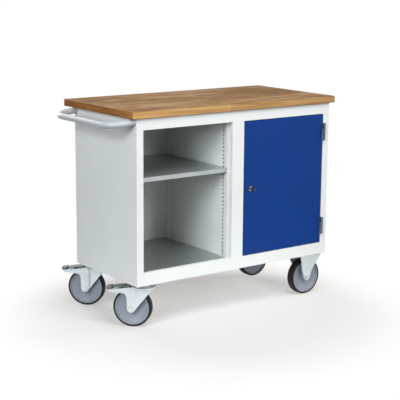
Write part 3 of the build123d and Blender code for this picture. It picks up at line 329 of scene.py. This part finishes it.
MATERIALS = {
    "cabinet_paint": powder_coat("cabinet_paint", srgb(215, 218, 216), 0.42, reflective=0.35),
    # The handle's paint is the cabinet's paint made darker: painted shade on the handle.
    "handle_paint": powder_coat("handle_paint", srgb(166, 171, 174), 0.4),
    "door_paint": powder_coat("door_paint", srgb(4, 49, 116), 0.5, reflective=0.15),
    "beech": beech(),
    "zinc": zinc("zinc", srgb(196, 199, 200), 0.34, 0.9, 300.0),
    "galvanised": zinc("galvanised", srgb(198, 205, 207), 0.42, 0.55, 120.0),
    "galvanised_sheet": zinc("galvanised_sheet", srgb(176, 182, 182), 0.36, 0.85, 90.0),
    "hinge_steel": zinc("hinge_steel", srgb(88, 96, 107), 0.4, 0.8, 300.0),
    "nickel": zinc("nickel", srgb(140, 140, 140), 0.2, 1.0, 500.0),
    "buffer_rubber": plastic("buffer_rubber", srgb(34, 34, 36), 0.7),
    "pedal_steel": zinc("pedal_steel", srgb(104, 111, 110), 0.45, 0.6, 200.0),
    # The wheel plastic is darker than its own grey: painted shade for the shadow that falls on the
    # discs' upper part.
    "wheel_plastic": plastic("wheel_plastic", srgb(127, 133, 142), 0.45),
    "tyre_rubber": plastic("tyre_rubber", srgb(11, 11, 13), 0.65, reflective=0.2),
}


def finish_of(node):
    """The record's material slot for a CAD node."""
    for entry in frame["record"]["subparts"]:
        if entry["node"] == node:
            return entry["material_slot"]
    raise ValueError(node)


def dress(piece, slot):
    """Give a piece the one material of its slot."""
    piece.data.materials.clear()
    piece.data.materials.append(MATERIALS[slot])


for name, node in nodes.items():
    dress(node, finish_of(name))


def add_object(name, data):
    """New object in the scene."""
    obj = bpy.data.objects.new(name, data)
    bpy.context.scene.collection.objects.link(obj)
    return obj


def stand_in(name, mesh):
    """Piece made of a mesh that stands for a CAD node and rides the node's body."""
    piece = add_object(mesh.name, mesh)
    dress(piece, finish_of(name))
    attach(piece, nodes[name]["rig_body"])
    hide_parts(name)
    return piece


# ---------------------------------------------------------------- softened sheet edges
def softened(name, width, segments=2):
    """Copy of a CAD node with its sharp edges rounded, which stands for that node."""
    mesh = nodes[name].data.copy()
    mesh.name = f"{name}_softened"
    work = bmesh.new()
    work.from_mesh(mesh)
    bmesh.ops.remove_doubles(work, verts=work.verts, dist=MERGE_DISTANCE)
    bmesh.ops.dissolve_limit(work, angle_limit=FLAT_ANGLE, verts=work.verts, edges=work.edges)
    work.to_mesh(mesh)
    work.free()
    bevel = stand_in(name, mesh).modifiers.new("edges", "BEVEL")
    bevel.width = width
    bevel.segments = segments
    bevel.limit_method = "ANGLE"
    bevel.angle_limit = SHARP_ANGLE
    bevel.harden_normals = True


SHEET_NODES = ("left_side_panel", "right_side_panel", "back_panel", "front_top_rail",
               "front_bottom_rail", "left_stile", "right_stile", "centre_post", "left_shelf",
               "right_shelf", "door_skin")
for name in SHEET_NODES:
    softened(name, SHEET_EDGE)
softened("worktop", TOP_EDGE, segments=3)


# ---------------------------------------------------------------- dished wheel discs
def dished(name, centre, axis):
    """Copy of a wheel's hub, with discs that curve inwards to the boss, which stands for it."""
    mesh = nodes[name].data.copy()
    mesh.name = f"{name}_dished"
    if mesh.attributes.get("custom_normal"):
        mesh.attributes.remove(mesh.attributes["custom_normal"])

    def place(vert):
        """Distance along the axle from the wheel's middle, and from the axle."""
        offset = vert.co - centre
        along = offset.dot(axis)
        return along, (offset - axis * along).length

    def on_disc(vert):
        along, radius = place(vert)
        return (WEB_FACE[0] - WEB_SLACK < abs(along) < WEB_FACE[1] + WEB_SLACK
                and BOSS_RADIUS - WEB_SLACK < radius < RIM_RADIUS + WEB_SLACK)

    work = bmesh.new()
    work.from_mesh(mesh)
    bmesh.ops.remove_doubles(work, verts=work.verts, dist=MERGE_DISTANCE)
    discs = [face for face in work.faces if all(on_disc(vert) for vert in face.verts)]
    edges = list({edge for face in discs for edge in face.edges})
    bmesh.ops.subdivide_edges(work, edges=edges, cuts=WEB_CUTS, use_grid_fill=True)
    bmesh.ops.triangulate(work, faces=work.faces)
    for vert in work.verts:
        if on_disc(vert):
            along, radius = place(vert)
            share = min(max((radius - BOSS_RADIUS) / (RIM_RADIUS - BOSS_RADIUS), 0.0), 1.0)
            vert.co -= axis * (WEB_DISH * (1 - share ** 2) * (1 if along > 0 else -1))
    for face in work.faces:
        face.smooth = True
    work.to_mesh(mesh)
    work.free()
    mesh.set_sharp_from_angle(angle=WEB_SHARP_ANGLE)
    stand_in(name, mesh)


for joint in frame["record"]["behaviour"]["joints"]:
    if joint["name"].endswith("_wheel_spin"):
        hub = joint["name"].replace("wheel_spin", "hub")
        dished(hub, Vector(joint["pos_m"]), Vector(joint["axis"]).normalized())


# ---------------------------------------------------------------- studio
def studio_floor():
    """Pale floor that keeps the shadow and meets a white background."""
    mesh = bpy.data.meshes.new("floor")
    work = bmesh.new()
    bmesh.ops.create_grid(work, x_segments=1, y_segments=1, size=FLOOR_SIZE)
    work.to_mesh(mesh)
    work.free()
    floor = add_object("floor", mesh)
    pale = Shader("floor", grey(FLOOR_BOUNCE), 0.9)
    pale.main.inputs["Specular IOR Level"].default_value = 0.0
    distance = pale.add("ShaderNodeVectorMath", operation="LENGTH")
    from_middle = pale.place(offset=(-FLOOR_MIDDLE[0], -FLOOR_MIDDLE[1], 0))
    pale.join(from_middle, distance.inputs[0])
    fade = pale.add("ShaderNodeMapRange", interpolation_type="SMOOTHSTEP")
    pale.join(distance.outputs["Value"], fade.inputs["Value"])
    fade.inputs["From Min"].default_value = FLOOR_FADE[0]
    fade.inputs["From Max"].default_value = FLOOR_FADE[1]
    light_path = pale.add("ShaderNodeLightPath")
    near = pale.blend(light_path.outputs["Is Camera Ray"], grey(FLOOR_BOUNCE), grey(FLOOR_SEEN))
    pale.colour(pale.blend(fade.outputs["Result"], near, grey(0.0)))
    seen = pale.add("ShaderNodeMath", operation="MAXIMUM")
    pale.join(light_path.outputs["Is Camera Ray"], seen.inputs[0])
    pale.join(light_path.outputs["Is Glossy Ray"], seen.inputs[1])
    glow = pale.add("ShaderNodeMath", operation="MULTIPLY")
    pale.join(pale.spread(fade.outputs["Result"], FLOOR_LIFT, 1.0), glow.inputs[0])
    pale.join(seen.outputs["Value"], glow.inputs[1])
    glow_colour = pale.blend(fade.outputs["Result"], FLOOR_WARMTH, grey(1.0))
    pale.join(glow_colour, pale.main.inputs["Emission Color"])
    pale.join(glow.outputs["Value"], pale.main.inputs["Emission Strength"])
    floor.data.materials.append(pale.material)


def studio_world():
    """White to the camera and in reflections, a plain soft light otherwise."""
    world = bpy.data.worlds.new("studio")
    world.use_nodes = True
    bpy.context.scene.world = world
    tree = world.node_tree
    background = tree.nodes["Background"]
    background.inputs["Color"].default_value = grey(1.0)
    light_path = tree.nodes.new("ShaderNodeLightPath")
    seen = light_path.outputs["Is Camera Ray"]
    for ray in ("Is Transmission Ray", "Is Glossy Ray"):
        either = tree.nodes.new("ShaderNodeMath")
        either.operation = "MAXIMUM"
        tree.links.new(seen, either.inputs[0])
        tree.links.new(light_path.outputs[ray], either.inputs[1])
        seen = either.outputs["Value"]
    strength = tree.nodes.new("ShaderNodeMapRange")
    strength.inputs["To Min"].default_value = AMBIENT
    strength.inputs["To Max"].default_value = BACKDROP
    tree.links.new(seen, strength.inputs["Value"])
    tree.links.new(strength.outputs["Result"], background.inputs["Strength"])


def softbox(name, turn, rise, size, level, colour):
    """Square area lamp aimed at the bench. Its level there doesn't change with LAMP_DISTANCE."""
    turn, rise = radians(turn), radians(rise)
    away = Vector((-cos(rise) * sin(turn), -cos(rise) * cos(turn), sin(rise)))
    lamp = bpy.data.lights.new(name, "AREA")
    lamp.size = size
    lamp.color = colour
    lamp.energy = level * (pi * LAMP_DISTANCE) ** 2
    obj = add_object(name, lamp)
    obj.location = Vector(LAMP_TARGET) + away * LAMP_DISTANCE
    obj.rotation_euler = (-away).to_track_quat("-Z", "Y").to_euler()


def studio_camera():
    """Camera from its place and three angles."""
    level = Vector((sin(CAMERA_YAW), cos(CAMERA_YAW), 0))
    ahead = level * cos(CAMERA_PITCH) - Vector((0, 0, sin(CAMERA_PITCH)))
    across = Vector((cos(CAMERA_YAW), -sin(CAMERA_YAW), 0))
    up = across.cross(ahead)
    right = across * cos(CAMERA_ROLL) + up * sin(CAMERA_ROLL)
    top = up * cos(CAMERA_ROLL) - across * sin(CAMERA_ROLL)
    data = bpy.data.cameras.new("camera")
    data.lens = CAMERA_LENS
    data.clip_end = CAMERA_REACH
    camera = add_object("camera", data)
    turn = Matrix((right, top, -ahead)).transposed()
    camera.matrix_world = Matrix.Translation(CAMERA_AT) @ turn.to_4x4()
    bpy.context.scene.camera = camera


studio_floor()
studio_world()
for name, turn, rise, size, level, colour in LAMPS:
    softbox(name, turn, rise, size, level, colour)
studio_camera()
bpy.context.scene.view_settings.view_transform = "Standard"
